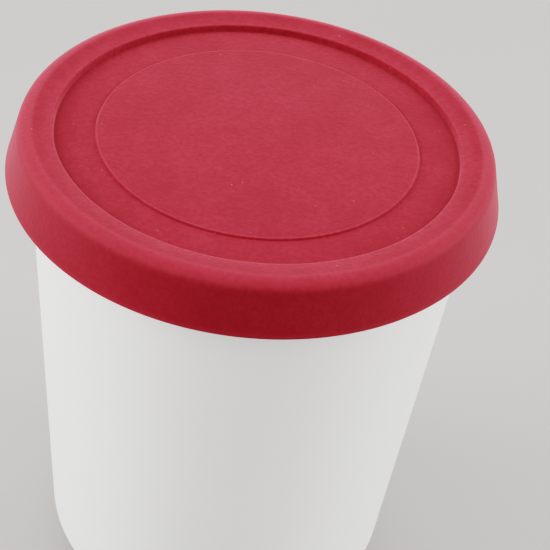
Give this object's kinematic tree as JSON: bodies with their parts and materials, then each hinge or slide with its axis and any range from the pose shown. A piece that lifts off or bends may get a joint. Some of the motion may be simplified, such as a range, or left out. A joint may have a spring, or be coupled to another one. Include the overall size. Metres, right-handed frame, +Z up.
{
  "type": "ice cream tub",
  "caption": "Shut round ice cream tub: a tapering white tub with a rounded foot under a soft red lid with a recessed top.",
  "frame": {"origin": "middle of the flat base, on the surface that the tub stands on", "axes": "+Z up along the tub's axis, from the base to the lid; +X and +Y lie in the base plane, and the tub looks the same all round"},
  "size_m": [0.1238, 0.1238, 0.1414],
  "materials": {
    "tub_white": "satin white moulded plastic",
    "lid_red": "matte raspberry red silicone, faintly mottled"
  },
  "bodies": {
    "root": {"tub_body": "tub_white", "lid": "lid_red"}
  },
  "joints": []
}
